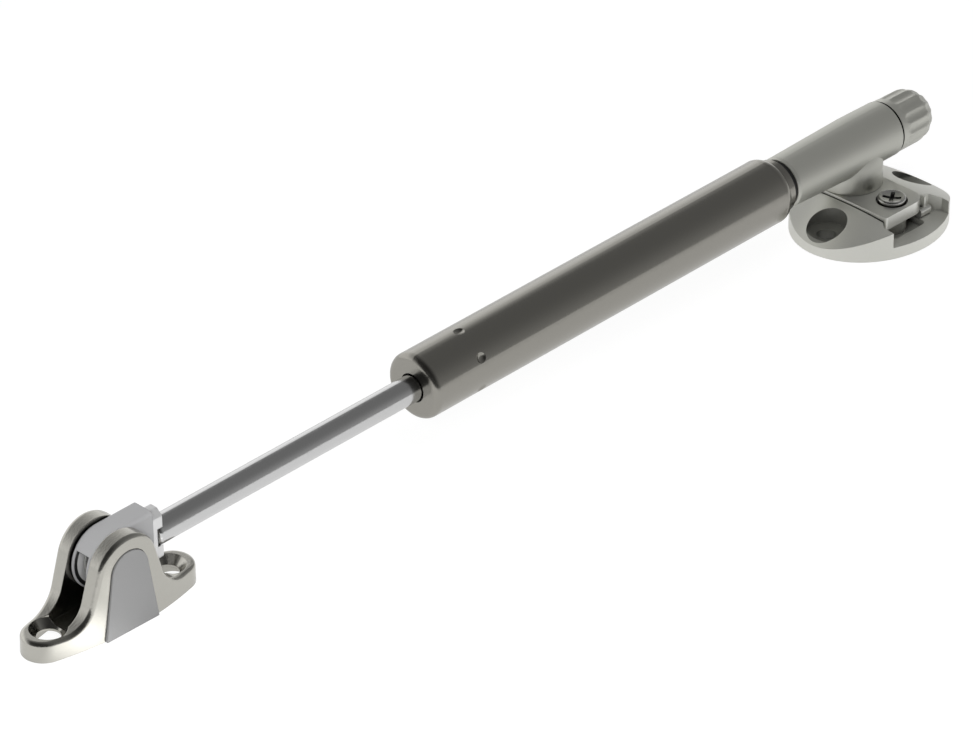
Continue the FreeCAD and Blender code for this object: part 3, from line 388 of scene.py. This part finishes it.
def dress(frame):
    """Gives every piece its finish."""
    nickel = surface("plate_nickel", (0.72, 0.72, 0.67), 0.70, 0.42, 0.04, reach=0.004, own=True,
                     shade_lines=CHANNEL_GAP_SHADE, painted_rounds=(LEFT_DISH_SHADE, RIGHT_DISH_SHADE))
    barrel = surface("barrel_nickel", (0.60, 0.60, 0.55), 0.75, 0.50, 0.05, shade_lines=HOLDER_GAP_SHADE)
    knob = surface("knob_nickel", (0.60, 0.60, 0.55), 0.75, 0.46, 0.05, soft=0.0007, shade_lines=KNOB_GAP_SHADE)
    bracket = surface("bracket_nickel", (0.48, 0.47, 0.43), 1.0, 0.22, 0.20, spread=0.03,
                      reach=0.005, own=True)
    block = surface("block_zinc", (0.72, 0.72, 0.68), 0.8, 0.30, 0.04, soft=0.0001)
    tube = surface("tube_nickel", (0.33, 0.32, 0.29), 1.0, 0.22, 0.05, spread=0.02, reach=0.0003)
    rod = surface("rod_chrome", (0.62, 0.62, 0.62), 1.0, 0.17, 0.12, grain_scale=1600.0, spread=0.05)
    screw = surface("screw_steel", (0.64, 0.64, 0.62), 1.0, 0.20, 0.03, reach=0.0012)
    collar = surface("collar_steel", (0.80, 0.80, 0.80), 0.7, 0.50, 0.04)
    brass = surface("brass_parts", (0.72, 0.55, 0.25), 1.0, 0.30)
    rubber = surface("black_rubber", (0.012, 0.012, 0.012), 0.0, 0.55)
    guide = surface("guide_plastic", (0.16, 0.16, 0.16), 0.0, 0.45)
    plastic = surface("grey_plastic", (0.26, 0.26, 0.26), 0.0, 0.42, 0.20)
    fork = surface("fork_grey", (0.38, 0.38, 0.385), 0.0, 0.34, 0.05, painted_rounds=(MOUTH_SHADE, MOUTH_BUSH_HIGHLIGHT))
    polish_boss(barrel, 0.30, 0.50)
    finishes = {
        nickel: ("base_plate",),
        barrel: ("pivot_holder",),
        knob: ("adjusting_knob",),
        bracket: ("flap_bracket",),
        block: ("carriage_block",),
        tube: ("outer_tube", "rear_plug"),
        rod: ("piston_rod",),
        screw: ("locking_screw", "swivel_pin", "swivel_washer", "swivel_ring", "adjusting_spindle",
                "spindle_ring", "piston_nut", "pivot_pin", "pivot_bush"),
        collar: ("rod_end_collar",),
        brass: ("valve_needle",),
        rubber: ("plug_o_ring", "gap_ring", "rod_seal", "stop_buffer", "piston_ring"),
        guide: ("front_guide", "piston"),
        plastic: ("near_cover", "far_cover"),
        fork: ("rod_end_fork",),
    }
    for material, names in finishes.items():
        for name in names:
            piece = frame["nodes"][name]
            piece.data.materials.clear()
            piece.data.materials.append(material)


def corners(bounds):
    """A box as plain lists of numbers."""
    return [[round(float(value), 6) for value in corner] for corner in bounds]


def main():
    """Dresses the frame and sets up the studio."""
    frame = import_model()
    dress(frame)
    camera()
    world_light()
    floor()
    lamps()
    bpy.context.scene.view_settings.view_transform = "Standard"


main()
